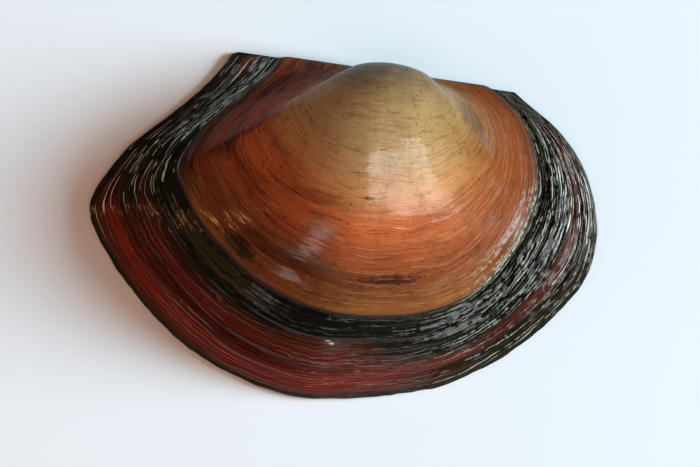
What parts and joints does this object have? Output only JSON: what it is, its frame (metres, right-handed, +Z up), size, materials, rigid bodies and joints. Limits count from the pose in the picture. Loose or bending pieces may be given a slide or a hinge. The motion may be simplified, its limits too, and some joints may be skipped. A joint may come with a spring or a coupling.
{
  "type": "freshwater mussel shell valve",
  "caption": "Right valve of a large freshwater mussel shell, domed and ridged with growth lines, thin walled and hollow below, lying on its margin.",
  "frame": {"origin": "centre of the bounding box, on the level that the margin rests on", "axes": "+X along the hinge line toward the front end, +Y from the lower margin toward the hinge, +Z up out of the domed outer side"},
  "size_m": [0.1602, 0.108, 0.0362],
  "materials": {
    "shell": "glossy, finely ridged skin over pearly shell"
  },
  "bodies": {
    "root": {"right_valve": "shell"}
  },
  "joints": []
}
